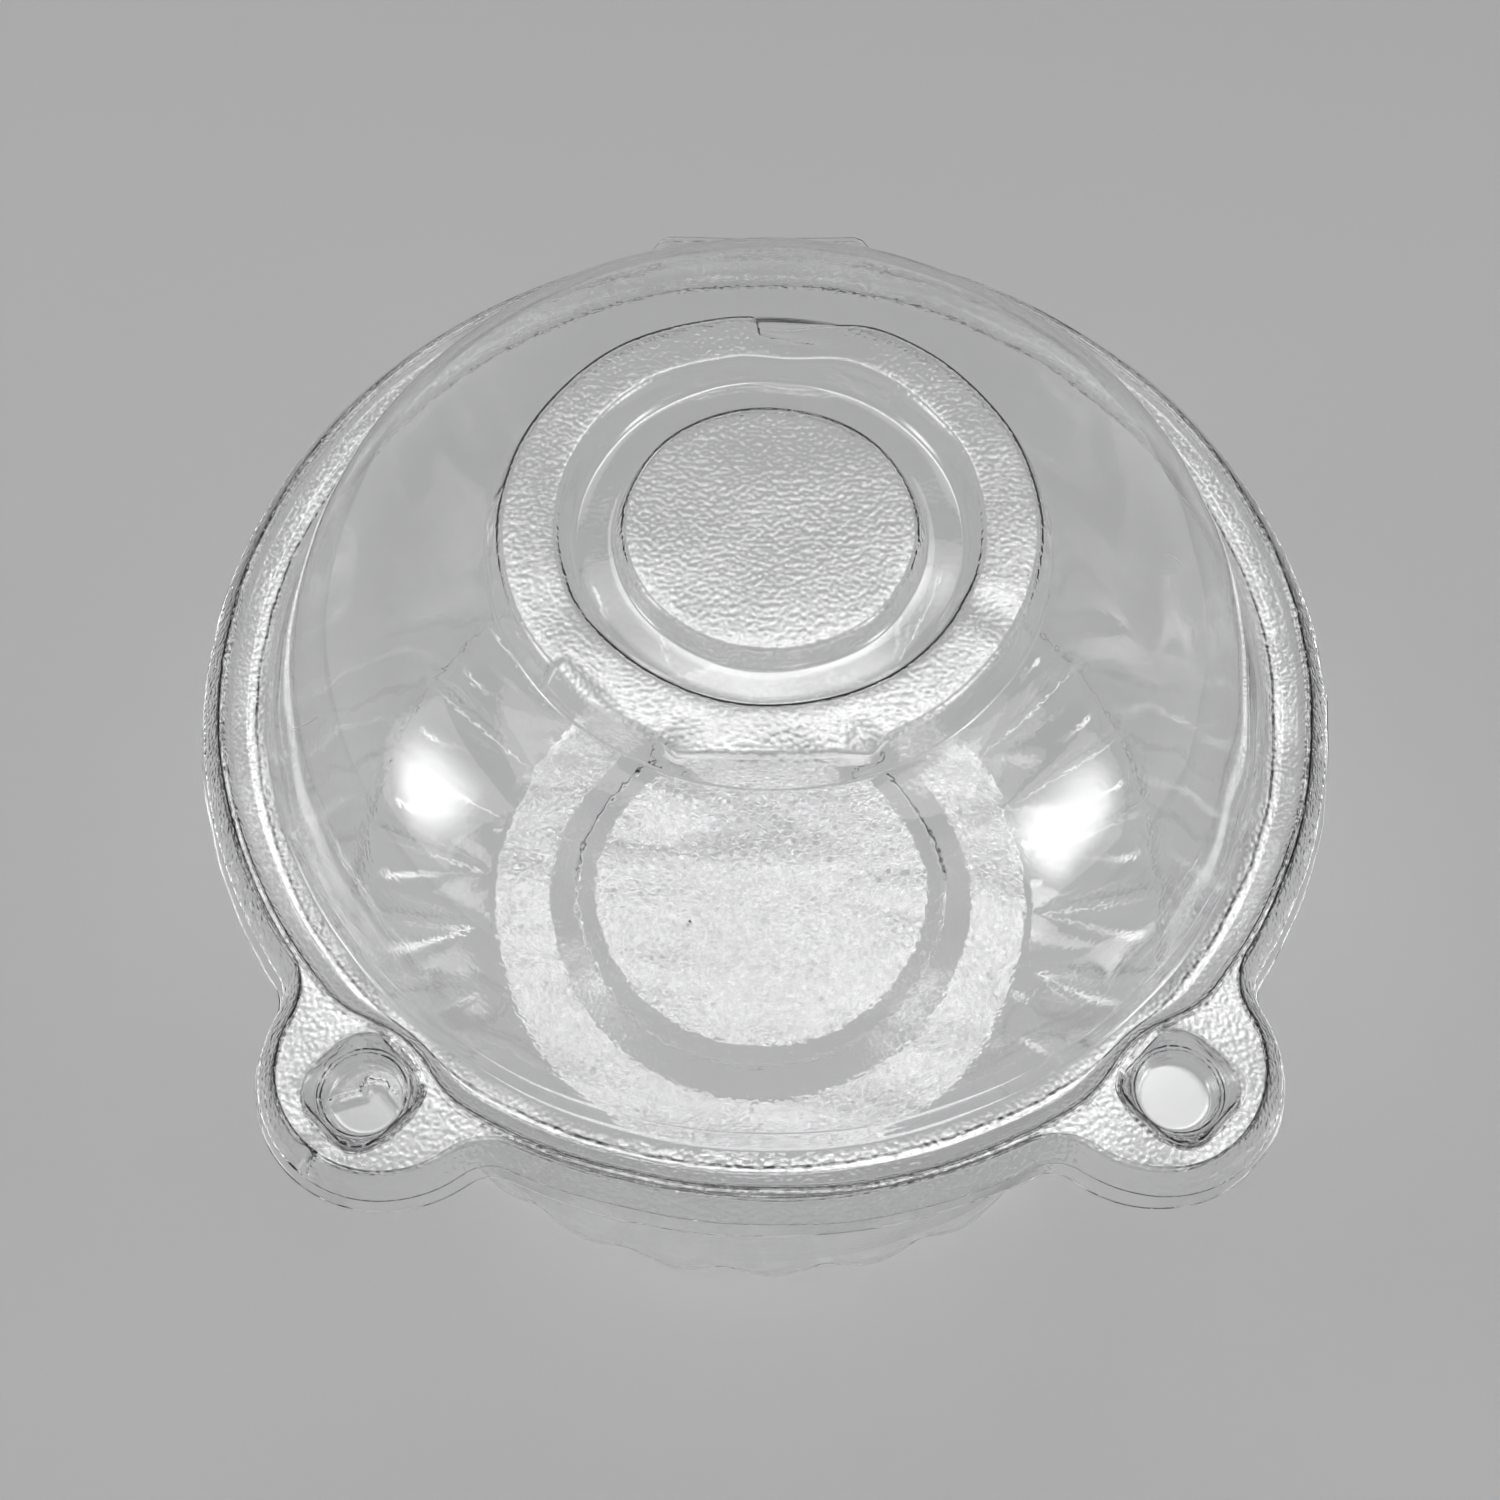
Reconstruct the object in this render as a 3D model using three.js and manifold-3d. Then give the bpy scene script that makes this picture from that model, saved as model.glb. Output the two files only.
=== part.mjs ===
// A hinged clear container: a round bowl and its dome lid, formed from one sheet of plastic film
// and folded together at a living hinge. Millimetres, +Z up. The origin is on the ground at the
// bowl's axis, the two snap ears are towards -Y and the hinge is towards +Y.
import * as THREE from 'three';
import Module from 'manifold-3d';

const wasm = await Module();
wasm.setup();

// Film
const FILM = 0.35;
const NEST_GAP = 0.3;

// Rim, where the lid's flange lies on the bowl's
const RIM_HEIGHT = 63.4;
const RIM_RADIUS = 57.1;
const BEAD_WIDTH = 0.7;
const BEAD_STEP_RUN = 0.6;
const BEAD_STEP_DROP = 1.15;
const LEDGE_SLOPE_RUN = 1.3;
const LEDGE_SLOPE_DROP = 0.6;
const SKIRT_FLARE_DEG = 40;
const LEDGE_WIDTH = 2.1;
const LID_SKIRT_DROP = 2.5;
const BOWL_SKIRT_DROP = 4.3;

// Dome
const NECK_LEAN = 1.0;
const NECK_RISE = 1.5;
const SHOULDER_PULL_IN = 5.0;
const SHOULDER_PULL_UP = 11.5;
const CROWN_PULL_OUT = 18.5;
const CROWN_PULL_DOWN = 0.5;
const DOME_RISE = 21.6;
const DOME_ROWS = 9;

// Stacking ring on the crown, with a raised disc inside it
const RING_FOOT_RADIUS = 26.9;
const RING_WALL_LEAN = 1.6;
const RING_TOP_WIDTH = 5.4;
const RING_HEIGHT = 3.7;
const RECESS_WALL_LEAN = 1.3;
const RECESS_DEPTH = 3.0;
const DISC_FOOT_RADIUS = 14.8;
const DISC_WALL_LEAN = 0.9;
const DISC_RISE = 1.9;

// Bowl
const MOUTH_INSET = 3.5;
const WALL_DRAFT_RUN = 1.6;
const FLUTE_COUNT = 28;
const FLUTE_TURN_DEG = 1.4;
const FLUTE_HEIGHT = 11.5;
const FLUTE_LIFT = 0.45;
const LOBE_SQUARENESS = 5;
const RIB_SQUARENESS = 1.15;
const RIB_START = 0.26;
const FOOT_OUTER_RADIUS = 36.0;
const FOOT_INNER_RADIUS = 28.5;
const FOOT_BEND = 0.8;
const CENTRE_CREASE_RADIUS = 25.0;
const CENTRE_CREASE_RISE = 1.0;
const CENTRE_DISC_RADIUS = 22.3;
const CENTRE_DISC_RISE = 1.5;

// Snap ears and their buttons
const EAR_ANGLE_DEG = 39.2;
const EAR_CENTRE_INSET = 0.2;
const EAR_ROUND_RADIUS = 10.6;
const EAR_FILLET_RADIUS = 6.3;
const BUTTON_CENTRE_OUTSET = 3.4;
const BUTTON_RADIUS = 5.1;
const BUTTON_CORNERS = 0.1;
const BUTTON_WALL_LEAN = 0.5;
const BUTTON_STEP_DROP = 1.3;
const BUTTON_STEP_RUN = 0.45;
const BUTTON_FLOOR_RADIUS = 3.5;
const BUTTON_DEPTH = 3.4;
const BEAD_SWELL = 2.0;
const BEAD_SWELL_REACH_DEG = 9;

// Living hinge at the back
const HINGE_OUTSET = 1.4;
const HINGE_HALF_WIDTH = 12.0;
const HINGE_FADE_DEG = 7;

// Damage that the container carries
const RING_DENTS = [
  { angleDeg: 183, reachDeg: 16, push: 1.1, drop: 0.7 },
  { angleDeg: -63, reachDeg: 9, push: 0.9, drop: 0.5 },
  { angleDeg: 2, reachDeg: 24, push: 0.5, drop: 0.1 },
];
const CRUSH_RISE = 1.1;

// Facets
const PLAIN_COLUMNS = 60;
const EDGE_STEP_DEG = 6;
const EAR_STEP_DEG = 1.6;
const EAR_REACH_DEG = 16;
const FLUTE_COLUMNS = [0, 0.2, 0.34, 0.5, 0.66, 0.8];
const FLUTE_ROWS_DEG = [14, 30, 46, 62, 78];
const BUTTON_SEGMENTS = 20;

const rad = THREE.MathUtils.degToRad;
const deg = THREE.MathUtils.radToDeg;
const skirtFlare = Math.tan(rad(SKIRT_FLARE_DEG));
const neckRadius = RIM_RADIUS - BEAD_WIDTH - BEAD_STEP_RUN - LEDGE_SLOPE_RUN - LEDGE_WIDTH;
const mouthRadius = RIM_RADIUS - MOUTH_INSET;
const wallFootRadius = mouthRadius - WALL_DRAFT_RUN;
const earCentreRadius = RIM_RADIUS - EAR_CENTRE_INSET;
const buttonCentreRadius = RIM_RADIUS + BUTTON_CENTRE_OUTSET;
const hingeY = RIM_RADIUS + HINGE_OUTSET;
const hingeHeight = RIM_HEIGHT - FILM - NEST_GAP / 2;
const hingeEdgeY = hingeY - NEST_GAP / 2;
const hingeHalfAngleDeg = deg(Math.atan(HINGE_HALF_WIDTH / hingeY));
const flutePitchDeg = 360 / FLUTE_COUNT;

// Angles run from the front, -Y, towards +X. This gives the signed turn between two of them.
function turnBetween(angleDeg, otherDeg) {
  return THREE.MathUtils.euclideanModulo(angleDeg - otherDeg + 180, 360) - 180;
}

function pointAt(angleDeg, radius, z) {
  const angle = rad(angleDeg);
  return new THREE.Vector3(radius * Math.sin(angle), -radius * Math.cos(angle), z);
}

// The middle angle of the nearer ear.
function nearerEar(angleDeg) {
  return turnBetween(angleDeg, 0) < 0 ? -EAR_ANGLE_DEG : EAR_ANGLE_DEG;
}

function turnFromEar(angleDeg) {
  return Math.abs(turnBetween(angleDeg, nearerEar(angleDeg)));
}

// The rim's outline is the rim's circle, each ear's round end and the fillets between them, all
// three arcs tangent to the next. This gives its point in one direction, moved outwards across
// the outline by a distance.
const filletDistance = RIM_RADIUS + EAR_FILLET_RADIUS;
const earToFillet = EAR_ROUND_RADIUS + EAR_FILLET_RADIUS;
const filletTurn = Math.acos(
  (earCentreRadius ** 2 + filletDistance ** 2 - earToFillet ** 2)
  / (2 * earCentreRadius * filletDistance));
const earCentre = new THREE.Vector2(earCentreRadius, 0);
const filletCentre = new THREE.Vector2(
  filletDistance * Math.cos(filletTurn), filletDistance * Math.sin(filletTurn));
const earTouch = earCentre.clone().lerp(filletCentre, EAR_ROUND_RADIUS / earToFillet);

function outlinePoint(angleDeg, grow, z) {
  const ear = nearerEar(angleDeg);
  const signedTurn = rad(turnBetween(angleDeg, ear));
  const turn = Math.abs(signedTurn);
  const ray = new THREE.Vector2(Math.cos(turn), Math.sin(turn));
  let spot;
  if (turn >= filletTurn) {
    spot = ray.multiplyScalar(RIM_RADIUS + grow);
  } else if (turn <= earTouch.angle()) {
    const across = earCentreRadius * Math.sin(turn);
    const along = earCentreRadius * Math.cos(turn);
    spot = ray.multiplyScalar(along + Math.sqrt(EAR_ROUND_RADIUS ** 2 - across ** 2));
    spot.add(spot.clone().sub(earCentre).setLength(grow || Number.EPSILON));
  } else {
    const across = filletDistance * Math.sin(filletTurn - turn);
    const along = filletDistance * Math.cos(filletTurn - turn);
    spot = ray.multiplyScalar(along - Math.sqrt(EAR_FILLET_RADIUS ** 2 - across ** 2));
    spot.lerp(filletCentre, grow / EAR_FILLET_RADIUS);
  }
  const placed = deg(spot.angle() > Math.PI ? 0 : spot.angle()) * Math.sign(signedTurn || 1);
  return pointAt(ear + placed, spot.length(), z);
}

// How much of the skirt there is: none along the hinge, all of it away from the hinge's ends.
function skirtShare(angleDeg) {
  const fromBack = Math.abs(turnBetween(angleDeg, 180));
  return THREE.MathUtils.smoothstep(
    fromBack, hingeHalfAngleDeg, hingeHalfAngleDeg + HINGE_FADE_DEG);
}

// A section is a list of { grow or radius, z } from the skirt's edge to the axis, along the
// upper side of the film. This moves it towards the film's lower side by a distance.
function offsetSection(section, distance) {
  const spots = section.map((spot) => new THREE.Vector2(spot.x, spot.z));
  const normals = spots.slice(1).map((spot, index) => {
    const along = spot.clone().sub(spots[index]).normalize();
    return new THREE.Vector2(-along.y, along.x);
  });
  return spots.map((spot, index) => {
    const before = normals[Math.max(index - 1, 0)];
    const after = normals[Math.min(index, normals.length - 1)];
    const mitre = before.clone().add(after);
    mitre.multiplyScalar(2 * distance / mitre.lengthSq());
    const moved = spot.clone().add(mitre);
    return { x: section[index].x === 0 ? 0 : moved.x, z: moved.y };
  });
}

// The rim's section: skirt edge, top corner, bead, step and the ledge's outer end. Its x is
// counted from the rim radius, so that it also fits the ears' outline.
function rimSection(angleDeg) {
  const swellTurn = Math.min(turnFromEar(angleDeg) / BEAD_SWELL_REACH_DEG, 1);
  const swell = BEAD_SWELL * (0.5 + 0.5 * Math.cos(Math.PI * swellTurn));
  const beadInner = -BEAD_WIDTH - swell;
  const stepInner = beadInner - BEAD_STEP_RUN;
  const ledgeOuter = stepInner - Math.max(LEDGE_SLOPE_RUN - swell / 2, LEDGE_SLOPE_RUN / 4);
  return [
    { x: skirtFlare * LID_SKIRT_DROP, z: RIM_HEIGHT - LID_SKIRT_DROP },
    { x: 0, z: RIM_HEIGHT },
    { x: beadInner, z: RIM_HEIGHT },
    { x: stepInner, z: RIM_HEIGHT - BEAD_STEP_DROP },
    { x: ledgeOuter, z: RIM_HEIGHT - BEAD_STEP_DROP - LEDGE_SLOPE_DROP },
  ];
}

// Turns the rim's section into points: the skirt follows the outline, and runs out into the
// flat hinge strip at the back.
function placeRim(section, angleDeg) {
  const [edge, corner, ...rest] = section;
  const share = skirtShare(angleDeg);
  const placedEdge = outlinePoint(angleDeg, edge.x, edge.z);
  if (share < 1) {
    const stripRadius = hingeEdgeY / -Math.cos(rad(angleDeg));
    placedEdge.lerp(pointAt(angleDeg, stripRadius, corner.z), 1 - share);
  }
  const inner = rest.map((spot) => pointAt(angleDeg, RIM_RADIUS + spot.x, spot.z));
  return [placedEdge, outlinePoint(angleDeg, corner.x, corner.z), ...inner];
}

// The lid inside its rim: ledge, neck, dome, stacking ring, recess and raised disc.
const ledgeHeight = RIM_HEIGHT - BEAD_STEP_DROP - LEDGE_SLOPE_DROP;
const crownHeight = ledgeHeight + NECK_RISE + DOME_RISE;
const ringTopHeight = crownHeight + RING_HEIGHT;

function lidCrownSection() {
  const neckTop = new THREE.Vector2(neckRadius - NECK_LEAN, ledgeHeight + NECK_RISE);
  const crown = new THREE.Vector2(RING_FOOT_RADIUS, crownHeight);
  const dome = new THREE.CubicBezierCurve(
    neckTop,
    neckTop.clone().add(new THREE.Vector2(-SHOULDER_PULL_IN, SHOULDER_PULL_UP)),
    crown.clone().add(new THREE.Vector2(CROWN_PULL_OUT, -CROWN_PULL_DOWN)),
    crown,
  );
  const domeSpots = dome.getSpacedPoints(DOME_ROWS).map((spot) => ({ x: spot.x, z: spot.y }));
  const ringOuter = RING_FOOT_RADIUS - RING_WALL_LEAN;
  const ringInner = ringOuter - RING_TOP_WIDTH;
  const recessFloor = ringTopHeight - RECESS_DEPTH;
  const discTop = recessFloor + DISC_RISE;
  return [
    { x: neckRadius, z: ledgeHeight },
    ...domeSpots,
    { x: ringOuter, z: ringTopHeight },
    { x: ringInner, z: ringTopHeight },
    { x: ringInner - RECESS_WALL_LEAN, z: recessFloor },
    { x: DISC_FOOT_RADIUS, z: recessFloor },
    { x: DISC_FOOT_RADIUS - DISC_WALL_LEAN, z: discTop },
    { x: 0, z: discTop },
  ];
}

// One corner of the bowl between wall and floor. Its squareness runs from a full lobe that
// stands on the ground to the straight chamfer of a rib.
function fluteSpot(angleDeg, sweepDeg) {
  const turn = turnBetween(angleDeg, FLUTE_TURN_DEG) / flutePitchDeg;
  const fromLobe = Math.abs(turn - Math.round(turn));
  const rib = THREE.MathUtils.smoothstep(fromLobe, RIB_START, 0.5);
  const squareness = THREE.MathUtils.lerp(LOBE_SQUARENESS, RIB_SQUARENESS, rib);
  const inner = FOOT_OUTER_RADIUS + FOOT_BEND;
  const floor = FILM + FLUTE_LIFT;
  const sweep = rad(sweepDeg);
  return {
    x: inner + (wallFootRadius - inner) * Math.cos(sweep) ** (2 / squareness),
    z: FLUTE_HEIGHT - (FLUTE_HEIGHT - floor) * Math.sin(sweep) ** (2 / squareness),
  };
}

function bowlInnerSection(angleDeg, mouthHeight) {
  const middle = 0.5;
  return [
    { x: mouthRadius, z: mouthHeight },
    {
      x: THREE.MathUtils.lerp(mouthRadius, wallFootRadius, middle),
      z: THREE.MathUtils.lerp(mouthHeight, FLUTE_HEIGHT, middle),
    },
    { x: wallFootRadius, z: FLUTE_HEIGHT },
    ...FLUTE_ROWS_DEG.map((sweep) => fluteSpot(angleDeg, sweep)),
    { x: FOOT_OUTER_RADIUS + FOOT_BEND, z: FILM + FLUTE_LIFT },
    { x: FOOT_OUTER_RADIUS, z: FILM },
    { x: FOOT_INNER_RADIUS, z: FILM },
    { x: CENTRE_CREASE_RADIUS, z: FILM + CENTRE_CREASE_RISE },
    { x: CENTRE_DISC_RADIUS, z: FILM + CENTRE_DISC_RISE },
    { x: 0, z: FILM + CENTRE_DISC_RISE },
  ];
}

// Both sides of the film at one angle. The rim's part is offset across its own outline, the
// rest in the plane through the axis.
function filmSides(rim, inner, angleDeg) {
  const firstInner = { x: inner[0].x - RIM_RADIUS, z: inner[0].z };
  const lowerRim = offsetSection([...rim, firstInner], FILM).slice(0, rim.length);
  const lastRim = rim[rim.length - 1];
  const joined = [{ x: lastRim.x + RIM_RADIUS, z: lastRim.z }, ...inner];
  const lowerInner = offsetSection(joined, FILM).slice(1);
  const placed = (spot) => pointAt(angleDeg, spot.x, spot.z);
  return {
    upper: [...placeRim(rim, angleDeg), ...inner.map(placed)],
    lower: [...placeRim(lowerRim, angleDeg), ...lowerInner.map(placed)],
  };
}

function lidSides(angleDeg) {
  return filmSides(rimSection(angleDeg), lidCrownSection(), angleDeg);
}

function bowlSides(angleDeg) {
  const nested = offsetSection(
    [...rimSection(angleDeg), { x: neckRadius - RIM_RADIUS, z: ledgeHeight }],
    FILM + NEST_GAP,
  ).slice(0, -1);
  const reach = BOWL_SKIRT_DROP - (RIM_HEIGHT - nested[0].z);
  nested[0] = { x: nested[0].x + skirtFlare * reach, z: nested[0].z - reach };
  const mouthHeight = nested[nested.length - 1].z;
  return filmSides(nested, bowlInnerSection(angleDeg, mouthHeight), angleDeg);
}

// Column angles
function evenColumns(count) {
  return Array.from({ length: count }, (_, index) => index * 360 / count);
}

function edgeColumns() {
  const columns = evenColumns(360 / EDGE_STEP_DEG).filter((angle) =>
    turnFromEar(angle) > EAR_REACH_DEG + EDGE_STEP_DEG / 4
    && Math.abs(Math.abs(turnBetween(angle, 180)) - hingeHalfAngleDeg) > EDGE_STEP_DEG / 4);
  for (const middle of [EAR_ANGLE_DEG, -EAR_ANGLE_DEG]) {
    const steps = Math.round(EAR_REACH_DEG / EAR_STEP_DEG);
    for (let step = -steps; step <= steps; step += 1) {
      columns.push(middle + step * EAR_REACH_DEG / steps);
    }
  }
  for (const side of [1, -1]) {
    columns.push(180 + side * hingeHalfAngleDeg);
    columns.push(180 + side * (hingeHalfAngleDeg + HINGE_FADE_DEG / 2));
  }
  return sortColumns(columns);
}

function fluteColumns() {
  const columns = [];
  for (let flute = 0; flute < FLUTE_COUNT; flute += 1) {
    for (const share of FLUTE_COLUMNS) {
      columns.push(FLUTE_TURN_DEG + (flute + share) * flutePitchDeg);
    }
  }
  return sortColumns(columns);
}

function sortColumns(columns) {
  return columns
    .map((angle) => THREE.MathUtils.euclideanModulo(angle, 360))
    .sort((a, b) => a - b);
}

// Builds a closed film body from rings of points. Neighbouring rings may have different counts:
// each step along either ring adds one triangle.
function filmBody(sides, columnsOfRow, displace) {
  const rowCount = sides(0).upper.length;
  const positions = [];
  const triangles = [];

  function addPoint(point) {
    const moved = displace(point);
    positions.push(moved.x, moved.y, moved.z);
    return positions.length / 3 - 1;
  }

  function addRing(side, row) {
    const columns = row === rowCount - 1 ? [0] : columnsOfRow(row);
    return columns.map((angle) => ({ angle, index: addPoint(sides(angle)[side][row]) }));
  }

  function stitch(outer, inner, flip) {
    let i = 0;
    let j = 0;
    const angleOf = (ring, step) =>
      ring[step % ring.length].angle + (step >= ring.length ? 360 : 0);
    const outerSteps = outer.length === 1 ? 0 : outer.length;
    const innerSteps = inner.length === 1 ? 0 : inner.length;
    while (i < outerSteps || j < innerSteps) {
      const stepOuter = j >= innerSteps
        || (i < outerSteps && angleOf(outer, i + 1) <= angleOf(inner, j + 1));
      const a = outer[i % outer.length].index;
      const b = inner[j % inner.length].index;
      if (stepOuter) i += 1;
      else j += 1;
      const c = stepOuter ? outer[i % outer.length].index : inner[j % inner.length].index;
      triangles.push(...(flip ? [a, b, c] : [a, c, b]));
    }
  }

  const rings = { upper: [], lower: [] };
  for (let row = 0; row < rowCount; row += 1) {
    rings.upper.push(addRing('upper', row));
    rings.lower.push(addRing('lower', row));
  }
  for (let row = 0; row + 1 < rowCount; row += 1) {
    stitch(rings.upper[row], rings.upper[row + 1], false);
    stitch(rings.lower[row], rings.lower[row + 1], true);
  }
  stitch(rings.upper[0], rings.lower[0], true);
  return solidFrom(positions, triangles);
}

function solidFrom(positions, triangles) {
  return new wasm.Manifold(new wasm.Mesh({
    numProp: 3,
    vertProperties: new Float32Array(positions),
    triVerts: new Uint32Array(triangles),
  }));
}

// The button's pocket in the lid's flange: a wall with one step, and a round floor. The bowl's
// pocket around it is the same section, moved out by the film and the gap.
function buttonSection(distance) {
  const stepRadius = BUTTON_RADIUS - BUTTON_WALL_LEAN;
  return offsetSection([
    { x: BUTTON_RADIUS, z: RIM_HEIGHT },
    { x: stepRadius, z: RIM_HEIGHT - BUTTON_STEP_DROP },
    { x: stepRadius - BUTTON_STEP_RUN, z: RIM_HEIGHT - BUTTON_STEP_DROP - BUTTON_WALL_LEAN },
    { x: BUTTON_FLOOR_RADIUS, z: RIM_HEIGHT - BUTTON_DEPTH },
    { x: BUTTON_FLOOR_RADIUS / 2, z: RIM_HEIGHT - BUTTON_DEPTH },
    { x: 0, z: RIM_HEIGHT - BUTTON_DEPTH },
  ], distance);
}

// A pocket's solid, four-cornered at its mouth and round at its floor, from a level down.
function buttonSolid(side, distance, level, crushed) {
  const section = buttonSection(distance);
  const first = section[0];
  const second = section[1];
  const slope = (first.x - second.x) / (first.z - second.z);
  const mouth = { x: first.x + slope * (level - first.z), z: level };
  const rows = [mouth, ...section.slice(1)];
  const centre = pointAt(side * EAR_ANGLE_DEG, buttonCentreRadius, 0);
  const positions = [];
  const triangles = [];
  const floorZ = section[section.length - 1].z;
  rows.forEach((row, index) => {
    const corners = BUTTON_CORNERS * THREE.MathUtils.clamp(
      (row.z - floorZ) / (level - floorZ), 0, 1);
    const last = index === rows.length - 1;
    for (let step = 0; step < (last ? 1 : BUTTON_SEGMENTS); step += 1) {
      const around = step * 2 * Math.PI / BUTTON_SEGMENTS;
      const radius = row.x * (1 + corners * Math.cos(4 * around));
      const x = radius * Math.cos(around);
      const y = radius * Math.sin(around);
      const rise = crushed && index > 2 ? crushRise(x, y) : 0;
      positions.push(centre.x + x, centre.y + y, row.z + rise);
    }
  });
  const tip = positions.length / 3 - 1;
  const at = (row, step) => row * BUTTON_SEGMENTS + step % BUTTON_SEGMENTS;
  for (let step = 0; step < BUTTON_SEGMENTS; step += 1) {
    for (let row = 0; row + 2 < rows.length; row += 1) {
      triangles.push(at(row, step), at(row + 1, step), at(row, step + 1));
      triangles.push(at(row + 1, step), at(row + 1, step + 1), at(row, step + 1));
    }
    triangles.push(at(rows.length - 2, step), tip, at(rows.length - 2, step + 1));
    if (step > 0 && step + 1 < BUTTON_SEGMENTS) {
      triangles.push(at(0, 0), at(0, step), at(0, step + 1));
    }
  }
  return solidFrom(positions, triangles);
}

// The left button's floor is pushed up into a bent fold.
function crushRise(x, y) {
  const fold = y + 0.35 * x - 0.6;
  const reach = BUTTON_FLOOR_RADIUS / 2;
  return CRUSH_RISE * Math.exp(-((fold / reach) ** 2));
}

// Adds the two pockets to a film body: their outer form joins it, their inner form is cut out.
function withButtons(body, distance, crushedSide) {
  let result = body;
  const top = RIM_HEIGHT - distance;
  for (const side of [1, -1]) {
    const crushed = side === crushedSide;
    const outer = buttonSolid(side, distance + FILM, top - FILM / 2, crushed);
    const inner = buttonSolid(side, distance, top + FILM, crushed);
    result = result.add(outer).subtract(inner);
  }
  return result;
}

// Dents in the stacking ring: its wall is pushed in and its top sinks over a short arc.
function dented(point) {
  const radius = Math.hypot(point.x, point.y);
  const lowest = crownHeight - RING_HEIGHT / 2;
  if (radius < DISC_FOOT_RADIUS || radius > RING_FOOT_RADIUS + 1 || point.z < lowest) return point;
  const angleDeg = deg(Math.atan2(point.x, -point.y));
  const level = THREE.MathUtils.smoothstep(point.z, crownHeight, ringTopHeight);
  let push = 0;
  let drop = 0;
  for (const dent of RING_DENTS) {
    const turn = Math.min(Math.abs(turnBetween(angleDeg, dent.angleDeg)) / dent.reachDeg, 1);
    const share = level * (0.5 + 0.5 * Math.cos(Math.PI * turn));
    push += dent.push * share;
    drop += dent.drop * share;
  }
  const scale = (radius - push) / radius;
  return new THREE.Vector3(point.x * scale, point.y * scale, point.z - drop);
}

function geometryOf(solid) {
  const mesh = solid.getMesh();
  const geometry = new THREE.BufferGeometry();
  geometry.setAttribute('position', new THREE.Float32BufferAttribute(mesh.vertProperties, 3));
  geometry.setIndex(new THREE.Uint32BufferAttribute(mesh.triVerts, 1));
  geometry.computeVertexNormals();
  return geometry;
}

function clearFilm(color) {
  return new THREE.MeshStandardMaterial({
    color, roughness: 0.08, metalness: 0, transparent: true, opacity: 0.35,
  });
}

const edge = edgeColumns();
const plain = evenColumns(PLAIN_COLUMNS);
const fluted = fluteColumns();
const rimRows = rimSection(0).length;
const firstFluteRow = rimRows + 2;
const lastFluteRow = firstFluteRow + FLUTE_ROWS_DEG.length;

function lidColumns(row) {
  return row < 2 ? edge : plain;
}

function bowlColumns(row) {
  if (row < 2) return edge;
  return row >= firstFluteRow && row <= lastFluteRow ? fluted : plain;
}

const lidSolid = withButtons(filmBody(lidSides, lidColumns, dented), 0, -1);
const bowlSolid = withButtons(
  filmBody(bowlSides, bowlColumns, (point) => point), FILM + NEST_GAP, 0);

const bowl = new THREE.Mesh(geometryOf(bowlSolid), clearFilm(0xdfe4e6));
bowl.name = 'base_bowl';

// The lid hangs on the hinge line, about which it swings open.
const lid = new THREE.Mesh(geometryOf(lidSolid), clearFilm(0xe8edef));
lid.name = 'dome_lid';
lid.geometry.translate(0, -hingeY, -hingeHeight);
const lidOnHinge = new THREE.Group();
lidOnHinge.position.set(0, hingeY, hingeHeight);
lidOnHinge.add(lid);

const container = new THREE.Group();
container.name = 'hinged_dome_container';
container.add(bowl, lidOnHinge);

export default container;
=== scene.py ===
import math

import bpy
import numpy as np
from mathutils import Matrix, Vector, geometry


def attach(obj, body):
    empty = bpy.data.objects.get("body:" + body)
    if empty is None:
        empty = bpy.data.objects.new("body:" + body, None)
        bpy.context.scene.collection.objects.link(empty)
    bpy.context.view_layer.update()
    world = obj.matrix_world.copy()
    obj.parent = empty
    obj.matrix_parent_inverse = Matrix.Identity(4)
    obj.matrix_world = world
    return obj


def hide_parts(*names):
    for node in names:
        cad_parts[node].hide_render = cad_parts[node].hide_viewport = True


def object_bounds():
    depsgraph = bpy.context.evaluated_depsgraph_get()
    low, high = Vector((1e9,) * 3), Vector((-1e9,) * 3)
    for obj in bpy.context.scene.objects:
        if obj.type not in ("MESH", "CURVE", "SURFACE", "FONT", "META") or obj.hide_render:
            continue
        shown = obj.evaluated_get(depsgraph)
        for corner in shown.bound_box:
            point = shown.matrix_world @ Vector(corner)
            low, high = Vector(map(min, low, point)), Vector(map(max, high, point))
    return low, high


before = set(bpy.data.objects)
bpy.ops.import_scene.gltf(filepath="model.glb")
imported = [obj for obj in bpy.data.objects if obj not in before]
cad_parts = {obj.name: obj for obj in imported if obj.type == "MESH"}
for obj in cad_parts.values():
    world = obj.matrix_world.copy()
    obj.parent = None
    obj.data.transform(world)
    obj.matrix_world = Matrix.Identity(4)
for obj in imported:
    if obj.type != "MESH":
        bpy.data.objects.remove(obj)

# The container's looks: both halves of the clear film at full smoothness, its finish, the floor,
# the light and the camera. Sizes are in millimetres, as in the part, and become metres at the
# end of each mesh.
MM = 0.001
CAD_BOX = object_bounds()

# Film and rim, the same values as the part's
FILM = 0.35
NEST_GAP = 0.3
RIM_HEIGHT = 63.4
RIM_RADIUS = 57.1
BEAD_WIDTH = 0.7
BEAD_STEP_RUN = 0.6
BEAD_STEP_DROP = 1.15
LEDGE_SLOPE_RUN = 1.3
LEDGE_SLOPE_DROP = 0.6
LEDGE_WIDTH = 2.1
SKIRT_FLARE = math.tan(math.radians(40))
LID_SKIRT_DROP = 2.5
BOWL_SKIRT_DROP = 4.3

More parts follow.
